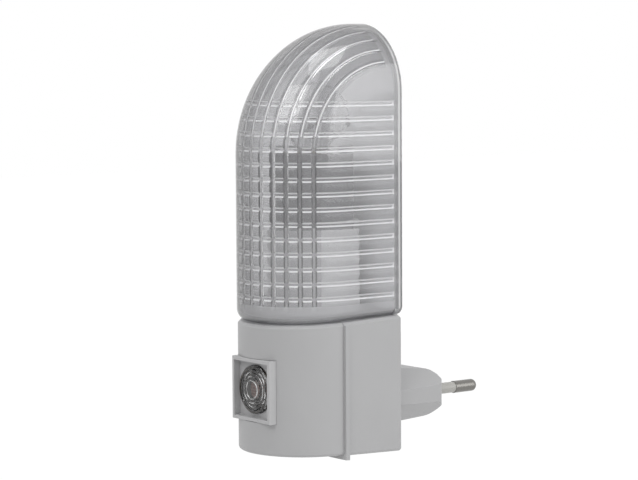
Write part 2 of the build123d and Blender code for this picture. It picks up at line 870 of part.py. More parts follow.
def flute_ribs():
    """Round-backed ribs inside the front, running up and over the dome."""
    centre = shade_inner + flute_radius - flute_depth
    low = base_top + flute_start
    ribs = []
    for place in range(flute_count):
        angle = math.radians((place - (flute_count - 1) / 2) * flute_step_deg)
        spot = Pos(centre * math.sin(angle), seam_y - centre * math.cos(angle))
        section = spot * Circle(flute_radius)
        ribs.append(raised(section, low, dome_z))
        ribs.append(revolve(Pos(0, 0, dome_z) * section, dome_axis, flute_stop_deg))
    return ribs


def tongue_at(x0, x1, y0, y1, fit):
    """A tongue under the shade's lip, or with a fit the slot in the deck that takes it."""
    y = (y0 + y1) / 2
    top = deck_z(y) + seat_gap + shade_lip / 2
    return block(x0 - fit, x1 + fit, y0 - fit, y1 + fit, deck_z(y) - tongue_drop - fit, top + fit)


def tongue_side(side, fit):
    """Locating tongue on one side of the shade."""
    x0, x1 = sorted((side * lip_radius, side * (lip_radius + tongue_thickness)))
    return tongue_at(x0, x1, -tongue_from_wall - tongue_length / 2, -tongue_from_wall + tongue_length / 2, fit)


def tongue_front(fit):
    """Locating tongue at the front of the shade."""
    y = seam_y - math.sqrt(lip_radius ** 2 - (tongue_length / 2) ** 2)
    return tongue_at(-tongue_length / 2, tongue_length / 2, y - tongue_thickness, y, fit)


def shade():
    """Clear shade, open behind the back panel and round the pedestal below."""
    outer = shade_form(shade_radius) - under_deck(seat_gap)
    low_face = outer.faces().sort_by(Axis.Z)[0]
    outer = fillet(low_face.edges().sort_by(Axis.Y)[:-1], shade_round)
    hollow = shade_form(shade_inner) + raised(d_face(shade_inner, overrun), base_bottom, dome_z)
    hollow -= under_deck(seat_gap + shade_lip)
    low_face = hollow.faces().sort_by(Axis.Z)[0]
    hollow = fillet(low_face.edges().sort_by(Axis.Y)[:-1], shade_round - shade_wall)
    clear = outer - hollow + cross_ribs()
    clear += flute_ribs()
    opening = raised(d_face(lip_radius, overrun), base_bottom, base_top + shade_round)
    panel_y = panel_front_y - panel_fit
    opening += block(-shade_inner, shade_inner, panel_y, overrun, base_bottom, base_top + shade_round)
    clear -= opening
    clear -= block(-shade_radius, shade_radius, -rim_setback, overrun, base_bottom, shade_top_z)
    clear += tongue_front(0)
    for side in (-1, 1):
        clear += tongue_side(side, 0)
    return clear


def write(name, pieces):
    """Saves one piece, or a set of like pieces, under its name."""
    shape = Compound(pieces) if isinstance(pieces, list) else pieces
    export_step(shape, os.path.join("parts", name + ".step"))


os.makedirs("parts", exist_ok=True)
write("front_housing", front_housing())
write("rear_cover", rear_cover())
write("housing_screws", housing_screws())
for side_name, side_sign in (("left", -1), ("right", 1)):
    write("plug_pin_" + side_name, plug_pin(side_sign))
    write("pin_sleeve_" + side_name, pin_sleeve(side_sign))
write("sensor_bezel", sensor_bezel())
write("sensor_lens", sensor_lens())
write("photocell", photocell())
write("photocell_leads", photocell_leads())
write("control_board", control_board())
write("rectifier_diodes", axial_bodies(diode_places, diode_radius, diode_length))
write("resistors", axial_bodies(resistor_places, resistor_radius, resistor_length))
write("thyristor", thyristor())
write("component_leads", component_leads())
write("lamp_pedestal", lamp_pedestal())
write("lamp_holder", lamp_holder())
write("holder_nut", holder_nut())
write("holder_shell_contact", holder_shell_contact())
write("holder_centre_contact", holder_centre_contact())
write("live_wire", live_wire())
write("neutral_wire", neutral_wire())
write("lamp_wire", lamp_wire())
write("bulb_contact_tip", bulb_contact_tip())
write("bulb_cap_insulator", bulb_cap_insulator())
write("bulb_screw_cap", bulb_screw_cap())
write("bulb_glass", bulb_glass())
write("bulb_stem", bulb_stem())
write("bulb_supports", bulb_supports())
write("bulb_filament", bulb_filament())
write("shade", shade())
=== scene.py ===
import math

import bmesh
import bpy
from mathutils import Matrix, Vector


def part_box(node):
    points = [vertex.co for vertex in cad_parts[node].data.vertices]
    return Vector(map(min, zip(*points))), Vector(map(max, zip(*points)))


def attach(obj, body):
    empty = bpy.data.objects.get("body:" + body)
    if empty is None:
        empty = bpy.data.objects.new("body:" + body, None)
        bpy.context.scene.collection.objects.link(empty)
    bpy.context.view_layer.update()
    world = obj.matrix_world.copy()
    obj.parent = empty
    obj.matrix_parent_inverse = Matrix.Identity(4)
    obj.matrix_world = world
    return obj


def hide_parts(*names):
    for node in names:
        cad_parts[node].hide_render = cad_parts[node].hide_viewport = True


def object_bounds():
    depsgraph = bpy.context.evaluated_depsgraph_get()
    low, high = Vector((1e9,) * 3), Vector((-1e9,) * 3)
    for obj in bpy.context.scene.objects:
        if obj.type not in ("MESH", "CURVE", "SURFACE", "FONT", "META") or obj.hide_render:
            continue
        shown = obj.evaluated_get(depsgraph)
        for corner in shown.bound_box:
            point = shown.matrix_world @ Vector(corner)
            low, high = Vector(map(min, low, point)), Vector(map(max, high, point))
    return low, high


# A plug-in night light: sensor window, screw-in lamp and clear ribbed shade. Sizes in metres.

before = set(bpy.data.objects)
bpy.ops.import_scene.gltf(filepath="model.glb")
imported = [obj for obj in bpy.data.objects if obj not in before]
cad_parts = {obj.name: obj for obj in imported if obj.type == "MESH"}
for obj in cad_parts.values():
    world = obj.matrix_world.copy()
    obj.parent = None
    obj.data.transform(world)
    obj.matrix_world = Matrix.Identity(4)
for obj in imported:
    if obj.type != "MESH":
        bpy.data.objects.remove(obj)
cad_low, cad_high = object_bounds()

# Camera, as in the photograph
PHOTO_AZIMUTH = math.radians(52.555)
PHOTO_ELEVATION = math.radians(4.851)
PHOTO_ROLL = math.radians(-0.323)
PHOTO_LENS = 137.6
PHOTO_SENSOR = 36.0
PHOTO_DISTANCE = 0.7908
PHOTO_SIDE_STEP = -0.01353
PHOTO_AIM_HEIGHT = 0.04998
CAMERA_NEAR = 0.01
CAMERA_FAR = 50.0

# Stage and even light
WHITE = (1.0, 1.0, 1.0, 1.0)
WORLD_LIGHT = 0.55
FLOOR_DROP = 0.11
FLOOR_SIZE = 6.0
FLOOR_COLOUR = (0.85, 0.85, 0.85, 1.0)
FLOOR_ROUGHNESS = 0.9
FLOOR_GLOW = 1.05
FLOOR_WHITENESS = 0.93

# Plastic and metal: patches of tone, grain and gloss
TONE_PATCH = 0.014
TONE_DETAIL = 2.0
PLASTIC_TONES = (0.965, 1.03)
PLASTIC_GRAIN = 0.0007
PLASTIC_GRAIN_DETAIL = 3.0
PLASTIC_ROUGH_STEP = 0.05
GRAIN_STRENGTH = 0.25
GRAIN_RELIEF = 0.00002
METAL_GRAIN = 0.0005
METAL_GRAIN_DETAIL = 4.0
METAL_TONES = (0.88, 1.05)
METAL_ROUGH_FALL = 0.06
METAL_ROUGH_RISE = 0.08
CLEAR_BEND = 1.5
HOUSING_COLOUR = (0.392, 0.392, 0.397)
HOUSING_ROUGHNESS = 0.42

# Resistors' colour bands, and the sensor's folded track
BAND_SHARE = 0.09
LACQUER_ROUGHNESS = 0.35
TRACK_PITCH = 0.0009
TRACK_WAVE = 0.314
TRACK_WANDER = 0.6
TRACK_EDGES = (0.42, 0.58)
TRACK_ROUGHNESS = 0.3

# White coat on the front of the panel behind the lamp, lighter low down: painted light over the
# shade that the column casts on it
DECK_TO_COAT = 0.0065
COAT_FADE = 0.0005
PANEL_FRONT = -0.0021
COAT_DEPTH = 0.0001

# Meshes: merging of doubles, cuts, and corners that stay sharp
MERGE_DISTANCE = 1e-6
FINE_DISTANCE = 1e-7
SHARP_CORNER = math.radians(50)
LENS_SHARP_CORNER = math.radians(35)

# Shade: wall, dome, foot and lip
SHADE_WALL = 0.0016
SEAT_GAP = 0.0001
DOME_BACK = 0.0035
DOME_STEPS = 45
SIDE_ROUND_PIECES = 24
FOOT_ROUND = 0.0034
FOOT_STEPS = 8
LIP_REACH = 0.00555
DECK_RAKE = math.tan(math.radians(2.0))

# Shade: level ribs
RIB_COUNT = 14
RIB_PITCH = 0.00465
RIB_START = 0.00775
RIB_HEIGHT = 0.0004
RIB_HALF_FOOT = 0.0008
RIB_HALF_TOP = 0.0003
RIB_BACK_MARGIN = 0.0026
RIB_END_FADE = 0.0006

# Shade: lengthwise flutes
FLUTE_COUNT = 11
FLUTE_STEP = math.radians(12.6)
FLUTE_PIECES = 22
FLUTE_HALF_WIDTH = 0.00084
FLUTE_HEIGHT = 0.0005
FLUTE_START = 0.0055
FLUTE_FADE = 0.0007
FLUTE_STOP = math.radians(89.0)
FLUTE_STOP_FADE = math.radians(2.0)

# Shade: three locating tongues under the lip
TONGUE_LENGTH = 0.008
TONGUE_THICKNESS = 0.0012
TONGUE_FROM_WALL = 0.012
TONGUE_EDGE = 0.0003
TONGUE_EDGE_STEPS = 2

# Shade: its finishes, and where they change, with painted highlights and painted shade on its
# inner face
RIBBED_LIGHT_TINT = (0.80, 0.80, 0.81)
CLEAR_SLOT, PAINTED_HIGHLIGHT_SLOT, PAINTED_FLUTE_SHADE_SLOT, RIM_SHADE_SLOT, FLUTED_SHADE_SLOT, FOOT_GREY_SLOT = range(6)
HALF_GROWN = 0.5
RIB_HIGHLIGHT_SHARE = 0.05
RIM_SHADE_STRIP = 0.0023
FLUTE_SHADE_START = 0.55
FLUTE_SHADE_END = 1.02
CREST_HIGHLIGHT = 0.3
CREST_HIGHLIGHT_START = 0.0062
FLUTE_LIGHT_SPAN = 0.012
EDGE_TONE_START = 0.2
EDGE_TONE_END = 0.8

# Sensor lens: a low dome with ring grooves, on a flanged collar
LENS_RADIUS = 0.0077
LENS_FALL = 0.00075
LENS_WALL = 0.0011
LENS_EDGE = 0.0004
LENS_EDGE_STEPS = 5
LENS_FLANGE_THICKNESS = 0.001
LENS_POINTS = 72
LENS_TURN_STEPS = 96
GROOVE_REACHES = (0.0029, 0.0042, 0.0054, 0.0065)
GROOVE_DEPTH = 0.0003
GROOVE_HALF_WIDTH = 0.00025

# Lamp: a round bulb on a drawn-in neck, open at the foot, with a coiled filament
BULB_WALL = 0.0006
BULB_NECK = 0.0057
BULB_NECK_RISE = 0.0056
BULB_SHOULDER = 0.0077
BULB_CURVE_STEPS = 24
BULB_TURN_STEPS = 96
FILAMENT_COIL = 0.0004
FILAMENT_WIRE = 0.00009
FILAMENT_WIRE_SIDES = 6
FILAMENT_TURNS = 16
FILAMENT_TURN_STEPS = 12
FILAMENT_REACH = 0.0045
FILAMENT_RISE = 0.00012
FILAMENT_BOW = 0.0022

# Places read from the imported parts
base_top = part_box("front_housing")[1].z
seam_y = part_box("rear_cover")[0].y
shade_low, shade_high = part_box("shade")
shade_radius = shade_high.x
inner_radius = shade_radius - SHADE_WALL
rim_y = shade_high.y
axis_y = -DOME_BACK
dome_z = shade_high.z - (axis_y - shade_low.y)
round_reach = axis_y - seam_y
foot_z = base_top + SEAT_GAP + FOOT_ROUND


# Parts of the finishes

def blank_material(name):
    """A new material, its node tree and its main shader."""
    material = bpy.data.materials.new(name)
    material.use_nodes = True
    tree = material.node_tree
    return material, tree, tree.nodes["Principled BSDF"]


def noise(tree, size, detail):
    """Noise on the piece's own coordinates, in grains of about the given size."""
    place = tree.nodes.new("ShaderNodeTexCoord")
    grain = tree.nodes.new("ShaderNodeTexNoise")
    grain.inputs["Scale"].default_value = 1.0 / size
    grain.inputs["Detail"].default_value = detail
    tree.links.new(place.outputs["Object"], grain.inputs["Vector"])
    return grain.outputs["Fac"]


def own_place(tree, axis):
    """The piece's own coordinate along an axis."""
    place = tree.nodes.new("ShaderNodeTexCoord")
    parts = tree.nodes.new("ShaderNodeSeparateXYZ")
    tree.links.new(place.outputs["Object"], parts.inputs["Vector"])
    return parts.outputs[axis]


def spread(tree, value, low, high):
    """Maps a value from 0 to 1 onto a range."""
    mapped = tree.nodes.new("ShaderNodeMapRange")
    mapped.inputs["To Min"].default_value = low
    mapped.inputs["To Max"].default_value = high
    tree.links.new(value, mapped.inputs["Value"])
    return mapped.outputs["Result"]


def climb(tree, value, start, end):
    """Goes from 0, where a value is at its start, to 1, where it is at its end."""
    mapped = tree.nodes.new("ShaderNodeMapRange")
    mapped.inputs["From Min"].default_value = start
    mapped.inputs["From Max"].default_value = end
    tree.links.new(value, mapped.inputs["Value"])
    return mapped.outputs["Result"]


def two_tone(tree, value, first, second):
    """Mixes two colours by a value."""
    mix = tree.nodes.new("ShaderNodeMix")
    mix.data_type = "RGBA"
    mix.inputs["A"].default_value = (*first, 1.0)
    mix.inputs["B"].default_value = (*second, 1.0)
    tree.links.new(value, mix.inputs["Factor"])
    return mix.outputs["Result"]


def shades(colour, shares):
    """A colour made darker and lighter by two shares."""
    return [tuple(channel * share for channel in colour) for share in shares]


# Finishes

def moulded_plastic(name, colour, roughness, grain=PLASTIC_GRAIN):
    """Moulded plastic with a fine grain and a slight change of tone."""
    material, tree, shader = blank_material(name)
    tone = noise(tree, TONE_PATCH, TONE_DETAIL)
    fine = noise(tree, grain, PLASTIC_GRAIN_DETAIL)
    colours = two_tone(tree, tone, *shades(colour, PLASTIC_TONES))
    rough = spread(tree, fine, roughness - PLASTIC_ROUGH_STEP, roughness + PLASTIC_ROUGH_STEP)
    bump = tree.nodes.new("ShaderNodeBump")
    bump.inputs["Strength"].default_value = GRAIN_STRENGTH
    bump.inputs["Distance"].default_value = GRAIN_RELIEF
    tree.links.new(fine, bump.inputs["Height"])
    tree.links.new(colours, shader.inputs["Base Color"])
    tree.links.new(rough, shader.inputs["Roughness"])
    tree.links.new(bump.outputs["Normal"], shader.inputs["Normal"])
    return material


def worked_metal(name, colour, roughness):
    """Plated or drawn metal with fine marks."""
    material, tree, shader = blank_material(name)
    shader.inputs["Metallic"].default_value = 1.0
    marks = noise(tree, METAL_GRAIN, METAL_GRAIN_DETAIL)
    colours = two_tone(tree, marks, *shades(colour, METAL_TONES))
    rough = spread(tree, marks, roughness - METAL_ROUGH_FALL, roughness + METAL_ROUGH_RISE)
    tree.links.new(colours, shader.inputs["Base Color"])
    tree.links.new(rough, shader.inputs["Roughness"])
    return material


def clear_finish(name, tint, roughness, light_tint, haze=0.0):
    """Clear plastic or glass with some haze, which lets the lamps' light straight through."""
    material, tree, shader = blank_material(name)
    shader.inputs["Transmission Weight"].default_value = 1.0 - haze
    shader.inputs["Base Color"].default_value = (*tint, 1.0)
    shader.inputs["Roughness"].default_value = roughness
    shader.inputs["IOR"].default_value = CLEAR_BEND
    path = tree.nodes.new("ShaderNodeLightPath")
    passing = tree.nodes.new("ShaderNodeBsdfTransparent")
    passing.inputs["Color"].default_value = (*light_tint, 1.0)
    mix = tree.nodes.new("ShaderNodeMixShader")
    tree.links.new(path.outputs["Is Shadow Ray"], mix.inputs["Fac"])
    tree.links.new(shader.outputs["BSDF"], mix.inputs[1])
    tree.links.new(passing.outputs["BSDF"], mix.inputs[2])
    tree.links.new(mix.outputs["Shader"], tree.nodes["Material Output"].inputs["Surface"])
    return material


def tone_to(material, value, tint):
    """Lets a clear finish go over to another tint by a value."""
    tree = material.node_tree
    colour = tree.nodes["Principled BSDF"].inputs["Base Color"]
    tree.links.new(two_tone(tree, value, colour.default_value[:3], tint), colour)


def tone_at_edges(material, edge_tint):
    """Lets a clear finish grow darker where it is seen edge on, as a thicker wall would."""
    tree = material.node_tree
    weight = tree.nodes.new("ShaderNodeLayerWeight")
    turned_away = climb(tree, weight.outputs["Facing"], EDGE_TONE_START, EDGE_TONE_END)
    tone_to(material, turned_away, edge_tint)


def tone_with_height(material, low_z, top_z, tint):
    """Lets a clear finish go over to another tint from one height to another."""
    tree = material.node_tree
    tone_to(material, climb(tree, own_place(tree, "Z"), low_z, top_z), tint)


def coat_panel_with_painted_light(material, low_z, top_z, low_colour, top_colour):
    """Puts a white coat, graded with height, on the front of the panel behind the lamp: lighter
    low down, as painted light over the column's shade.
    """
    tree = material.node_tree
    colour = tree.nodes["Principled BSDF"].inputs["Base Color"]
    plain = colour.links[0].from_socket
    height, depth = own_place(tree, "Z"), own_place(tree, "Y")
    white = two_tone(tree, climb(tree, height, low_z, top_z), low_colour, top_colour)
    above = climb(tree, height, low_z, low_z + COAT_FADE)
    ahead = climb(tree, depth, PANEL_FRONT + 2 * COAT_DEPTH, PANEL_FRONT + COAT_DEPTH)
    coated = tree.nodes.new("ShaderNodeMath")
    coated.operation = "MULTIPLY"
    tree.links.new(above, coated.inputs[0])
    tree.links.new(ahead, coated.inputs[1])
    mix = tree.nodes.new("ShaderNodeMix")
    mix.data_type = "RGBA"
    tree.links.new(coated.outputs["Value"], mix.inputs["Factor"])
    tree.links.new(plain, mix.inputs["A"])
    tree.links.new(white, mix.inputs["B"])
    tree.links.new(mix.outputs["Result"], colour)


def banded_plastic(name, node, body, bands):
    """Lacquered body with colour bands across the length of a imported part."""
    material, tree, shader = blank_material(name)
    low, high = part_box(node)
    along = climb(tree, own_place(tree, "X"), low.x, high.x)
    ramp = tree.nodes.new("ShaderNodeValToRGB")
    steps = ramp.color_ramp
    steps.interpolation = "CONSTANT"
    steps.elements[0].color = (*body, 1.0)
    steps.elements[1].position = 1.0
    steps.elements[1].color = (*body, 1.0)
    for start_share, colour in bands:
        steps.elements.new(start_share).color = (*colour, 1.0)
        steps.elements.new(start_share + BAND_SHARE).color = (*body, 1.0)
    tree.links.new(along, ramp.inputs["Fac"])
    tree.links.new(ramp.outputs["Color"], shader.inputs["Base Color"])
    shader.inputs["Roughness"].default_value = LACQUER_ROUGHNESS
    return material


def sensing_track(name, ceramic, track):
    """Pale ceramic with a red-brown sensing track folded across it."""
    material, tree, shader = blank_material(name)
    place = tree.nodes.new("ShaderNodeTexCoord")
    wave = tree.nodes.new("ShaderNodeTexWave")
    wave.bands_direction = "Z"
    wave.inputs["Scale"].default_value = TRACK_WAVE / TRACK_PITCH
    wave.inputs["Distortion"].default_value = TRACK_WANDER
    ramp = tree.nodes.new("ShaderNodeValToRGB")
    for step, edge, colour in zip(ramp.color_ramp.elements, TRACK_EDGES, (track, ceramic)):
        step.position = edge
        step.color = (*colour, 1.0)
    tree.links.new(place.outputs["Object"], wave.inputs["Vector"])
    tree.links.new(wave.outputs["Fac"], ramp.inputs["Fac"])
    tree.links.new(ramp.outputs["Color"], shader.inputs["Base Color"])
    shader.inputs["Roughness"].default_value = TRACK_ROUGHNESS
    return material


def paint(material, *names):
    """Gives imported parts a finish."""
    for name in names:
        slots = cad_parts[name].data.materials
        slots.clear()
        slots.append(material)


# Steps that the meshes share

def fade(value, start, end):
    """Rises smoothly from 0 at start to 1 at end."""
    share = min(max((value - start) / (end - start), 0.0), 1.0)
    return share * share * (3 - 2 * share)


def pull_vert(bm, vert, step):
    """Draws a line on from a vertex."""
    made = bmesh.ops.extrude_vert_indiv(bm, verts=[vert])["verts"]
    bmesh.ops.translate(bm, verts=made, vec=step)
    return made[0]


def pull_edges(bm, edges, step):
    """Draws a strip of faces on from a line of edges and returns its far edges and vertices."""
    made = bmesh.ops.extrude_edge_only(bm, edges=edges)["geom"]
    verts = [item for item in made if isinstance(item, bmesh.types.BMVert)]
    bmesh.ops.translate(bm, verts=verts, vec=step)
    fresh = set(verts)
    far = [
        item for item in made
        if isinstance(item, bmesh.types.BMEdge) and set(item.verts) <= fresh
    ]
    return far, verts


def spun_outline(points, centre, axis, steps):
    """A closed mesh spun from an outline about an axis."""
    bm = bmesh.new()
    vert = bm.verts.new(points[0])
    for point in points[1:]:
        vert = pull_vert(bm, vert, Vector(point) - vert.co)
    bmesh.ops.spin(
        bm, geom=bm.verts[:] + bm.edges[:], cent=centre, axis=axis,
        angle=math.tau, steps=steps, use_merge=True,
    )
    bmesh.ops.remove_doubles(bm, verts=bm.verts[:], dist=FINE_DISTANCE)
    bmesh.ops.recalc_face_normals(bm, faces=bm.faces[:])
    return bm


def finish_mesh(bm, name, material, sharp_angle=SHARP_CORNER):
    """Turns a bmesh into a smooth-shaded piece with sharp corners kept."""
    mesh = bpy.data.meshes.new(name)
    bm.to_mesh(mesh)
    bm.free()
    mesh.materials.append(material)
    mesh.shade_smooth()
    mesh.set_sharp_from_angle(angle=sharp_angle)
    piece = bpy.data.objects.new(name, mesh)
    bpy.context.scene.collection.objects.link(piece)
    return piece


# Shade

def plan_place(point):
    """Side step of a point on the shade, and its reach from the dome's axis."""
    rise = max(point.z - dome_z, 0.0)
    ahead = max(axis_y - point.y, 0.0)
    return point.x, math.hypot(ahead, rise)


def draw_in(vert, inset):
    """Moves a point of the shade's wall towards the middle of its plan."""
    across, reach = plan_place(vert.co)
    ahead = max(reach - round_reach, 0.0)
    share = inset / math.hypot(across, ahead)
    vert.co.x -= across * share
    if ahead:
        factor = (reach - ahead * share) / reach
        if vert.co.y < axis_y:
            vert.co.y = axis_y + (vert.co.y - axis_y) * factor
        if vert.co.z > dome_z:
            vert.co.z = dome_z + (vert.co.z - dome_z) * factor


def turn_vert(bm, vert, angle, pieces):
    """Draws an arc on from a vertex, about the centre of the half round."""
    made = bmesh.ops.spin(
        bm, geom=[vert], cent=(0, seam_y, vert.co.z), axis=(0, 0, 1), angle=angle, steps=pieces
    )["geom_last"]
    return next(item for item in made if isinstance(item, bmesh.types.BMVert))


def shade_plan(bm):
    """The line of the shade's wall, seen from above, at the height where its foot begins."""
    fluted = FLUTE_COUNT * FLUTE_STEP
    plain = (math.pi - fluted) / 2
    end = Vector((0, axis_y - rim_y, 0))
    side = Vector((0, seam_y - axis_y, 0))
    vert = bm.verts.new((shade_radius, rim_y, foot_z))
    vert = pull_vert(bm, vert, end)
    vert = pull_vert(bm, vert, side)
    vert = turn_vert(bm, vert, -plain, SIDE_ROUND_PIECES)
    vert = turn_vert(bm, vert, -fluted, FLUTE_COUNT * FLUTE_PIECES)
    vert = turn_vert(bm, vert, -plain, SIDE_ROUND_PIECES)
    vert = pull_vert(bm, vert, -side)
    pull_vert(bm, vert, -end)
    bmesh.ops.remove_doubles(bm, verts=bm.verts[:], dist=MERGE_DISTANCE)
    return bm.edges[:]


def draw_wall_and_dome(bm, line):
    """Draws the wall up from the plan line and turns it over into the dome."""
    top, top_verts = pull_edges(bm, line, (0, 0, dome_z - foot_z))
    front_y = axis_y + MERGE_DISTANCE
    edges = [edge for edge in top if all(vert.co.y < front_y for vert in edge.verts)]
    verts = [vert for vert in top_verts if vert.co.y < front_y]
    spun = bmesh.ops.spin(
        bm, geom=edges + verts, cent=(0, axis_y, dome_z), axis=(1, 0, 0),
        angle=-math.pi / 2, steps=DOME_STEPS,
    )["geom_last"]
    arch = [item for item in spun if isinstance(item, bmesh.types.BMEdge)]
    pull_edges(bm, arch, (0, rim_y - axis_y, 0))


def draw_foot(bm, line):
    """Draws the rounded foot down and in from the plan line, and the level lip from there."""
    foot = line
    inset, drop = 0.0, 0.0
    for step in range(1, FOOT_STEPS + 1):
        turn = math.pi / 2 * step / FOOT_STEPS
        next_inset = FOOT_ROUND * (1 - math.cos(turn))
        next_drop = FOOT_ROUND * math.sin(turn)
        foot, verts = pull_edges(bm, foot, (0, 0, drop - next_drop))
        for vert in verts:
            draw_in(vert, next_inset - inset)
        inset, drop = next_inset, next_drop
    foot, verts = pull_edges(bm, foot, (0, 0, 0))
    for vert in verts:
        draw_in(vert, LIP_REACH - FOOT_ROUND)


def shade_sheet(bm):
    """The shade's outer face."""
    line = shade_plan(bm)
    draw_wall_and_dome(bm, line)
    draw_foot(bm, line)
    bmesh.ops.remove_doubles(bm, verts=bm.verts[:], dist=MERGE_DISTANCE)
    bmesh.ops.recalc_face_normals(bm, faces=bm.faces[:])


def lean_foot(bm):
    """Leans the shade's foot with the housing's top."""
    ease = RIB_START - RIB_HALF_FOOT
    for vert in bm.verts:
        share = 1 - (vert.co.z - base_top) / ease
        share = min(max(share, 0.0), 1.0)
        vert.co.z += share * DECK_RAKE * (vert.co.y - seam_y)


def rib_planes():
    """Heights at which the inner face is cut for the ribs and the flutes' feet."""
    slope = (RIB_HALF_FOOT + RIB_HALF_TOP) / 2
    offsets = (-RIB_HALF_FOOT, -RIB_HALF_TOP, RIB_HALF_TOP, RIB_HALF_FOOT, -slope, slope)
    heights = [base_top + FLUTE_START, base_top + FLUTE_START + FLUTE_FADE]
    for place in range(RIB_COUNT):
        rib_z = base_top + RIB_START + place * RIB_PITCH
        heights += [rib_z + offset for offset in offsets]
    return heights


def cut_inner_face(bm, inner):
    """Cuts the inner face where the ribs begin and end, and returns all its vertices."""
    faces = [face for face in bm.faces if all(vert in inner for vert in face.verts)]
    edges = {edge for face in faces for edge in face.edges}
    verts = {vert for face in faces for vert in face.verts}
    geom = [*verts, *edges, *faces]
    cuts = [((0, 0, height), (0, 0, 1)) for height in rib_planes()]
    for margin in (RIB_BACK_MARGIN, RIB_BACK_MARGIN + RIB_END_FADE):
        cuts.append(((0, -margin, 0), (0, 1, 0)))
    for place, normal in cuts:
        geom = bmesh.ops.bisect_plane(
            bm, geom=geom, dist=FINE_DISTANCE, plane_co=place, plane_no=normal
        )["geom"]
    return {item for item in geom if isinstance(item, bmesh.types.BMVert)}


def rib_height(point):
    """How far the level ribs stand in from the wall at a point."""
    place = round((point.z - base_top - RIB_START) / RIB_PITCH)
    place = min(max(place, 0), RIB_COUNT - 1)
    off = abs(point.z - base_top - RIB_START - place * RIB_PITCH)
    ending = fade(-point.y, RIB_BACK_MARGIN, RIB_BACK_MARGIN + RIB_END_FADE)
    return RIB_HEIGHT * ending * (1 - fade(off, RIB_HALF_TOP, RIB_HALF_FOOT))


def flute_offset(point):
    """Distance of a point from the nearest flute's middle line, in half widths of a flute."""
    across, reach = plan_place(point)
    angle = math.atan2(across, max(reach - round_reach, 0.0))
    place = round(angle / FLUTE_STEP)
    place = min(max(place, -(FLUTE_COUNT // 2)), FLUTE_COUNT // 2)
    return abs(angle - place * FLUTE_STEP) * inner_radius / FLUTE_HALF_WIDTH


def flute_share(point):
    """How much of its full height a flute has along its length, at a point's place."""
    rising = fade(point.z, base_top + FLUTE_START, base_top + FLUTE_START + FLUTE_FADE)
    over = math.atan2(max(point.z - dome_z, 0.0), axis_y - point.y)
    return rising * (1 - fade(over, FLUTE_STOP - FLUTE_STOP_FADE, FLUTE_STOP))


def flute_height(point):
    """How far the lengthwise flutes stand in from the wall at a point."""
    off = flute_offset(point)
    if off >= 1:
        return 0.0
    return FLUTE_HEIGHT * math.sqrt(1 - off * off) * flute_share(point)


def finish_slot(point):
    """Which of the shade's finishes its inner face has at a point: painted highlight, painted
    shade, a painted grey foot or plain clear plastic.
    """
    rib_share = rib_height(point) / RIB_HEIGHT
    off = flute_offset(point)
    half_gap = FLUTE_STEP / 2 * inner_radius / FLUTE_HALF_WIDTH
    fluted = flute_share(point) > HALF_GROWN
    if fluted and FLUTE_SHADE_START < off < FLUTE_SHADE_END and rib_share < HALF_GROWN:
        return PAINTED_FLUTE_SHADE_SLOT
    if fluted and off < CREST_HIGHLIGHT and point.z > dome_z + CREST_HIGHLIGHT_START:
        return PAINTED_HIGHLIGHT_SLOT
    if RIB_HIGHLIGHT_SHARE < rib_share < 1 - RIB_HIGHLIGHT_SHARE and off > 1:
        return PAINTED_HIGHLIGHT_SLOT
    if point.y > rim_y - RIM_SHADE_STRIP:
        return RIM_SHADE_SLOT
    if point.z < base_top + FLUTE_START:
        return FOOT_GREY_SLOT
    if fluted and off < half_gap:
        return FLUTED_SHADE_SLOT
    return CLEAR_SLOT


def add_tongue(bm, x, y, along_x):
    """A locating tongue under the lip."""
    low = shade_low.z
    high = base_top + SEAT_GAP + SHADE_WALL / 2
    wide = TONGUE_LENGTH if along_x else TONGUE_THICKNESS
    deep = TONGUE_THICKNESS if along_x else TONGUE_LENGTH
    size = Matrix.Diagonal((wide, deep, high - low, 1))
    place = Matrix.Translation((x, y, (low + high) / 2))
    verts = bmesh.ops.create_cube(bm, size=1.0, matrix=place @ size)["verts"]
    edges = list({edge for vert in verts for edge in vert.link_edges})
    bmesh.ops.bevel(
        bm, geom=edges, offset=TONGUE_EDGE, offset_type="OFFSET", affect="EDGES",
        segments=TONGUE_EDGE_STEPS, profile=0.5, material=-1,
    )


def make_shade(material, *inner_materials):
    """The clear shade as one closed shell with ribs and flutes inside."""
    bm = bmesh.new()
    shade_sheet(bm)
    outer = set(bm.verts)
    bmesh.ops.solidify(bm, geom=bm.faces[:], thickness=SHADE_WALL)
    moved = {vert for vert in bm.verts if vert not in outer}
    widest = max(vert.co.x for vert in moved)
    inner = moved if widest < shade_radius - SHADE_WALL / 2 else outer
    inner = cut_inner_face(bm, inner)
    for vert in inner:
        inset = max(rib_height(vert.co), flute_height(vert.co))
        if inset > 0:
            draw_in(vert, inset)
    for face in bm.faces:
        if all(vert in inner for vert in face.verts):
            face.material_index = finish_slot(face.calc_center_median())
    lean_foot(bm)
    lip = shade_radius - LIP_REACH
    half_step = TONGUE_THICKNESS / 2
    add_tongue(bm, 0, seam_y - lip - half_step, True)
    for side in (-1, 1):
        add_tongue(bm, side * (lip + half_step), -TONGUE_FROM_WALL, False)
    piece = finish_mesh(bm, "clear_shade", material)
    for inner_material in inner_materials:
        piece.data.materials.append(inner_material)
    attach(piece, "shade")
    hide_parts("shade")


# Sensor lens

def groove_depth(reach):
    """How deep the ring grooves lie in the lens at a distance from its middle."""
    off = min(abs(reach - groove) for groove in GROOVE_REACHES) / GROOVE_HALF_WIDTH
    return GROOVE_DEPTH * max(1 - off, 0.0)


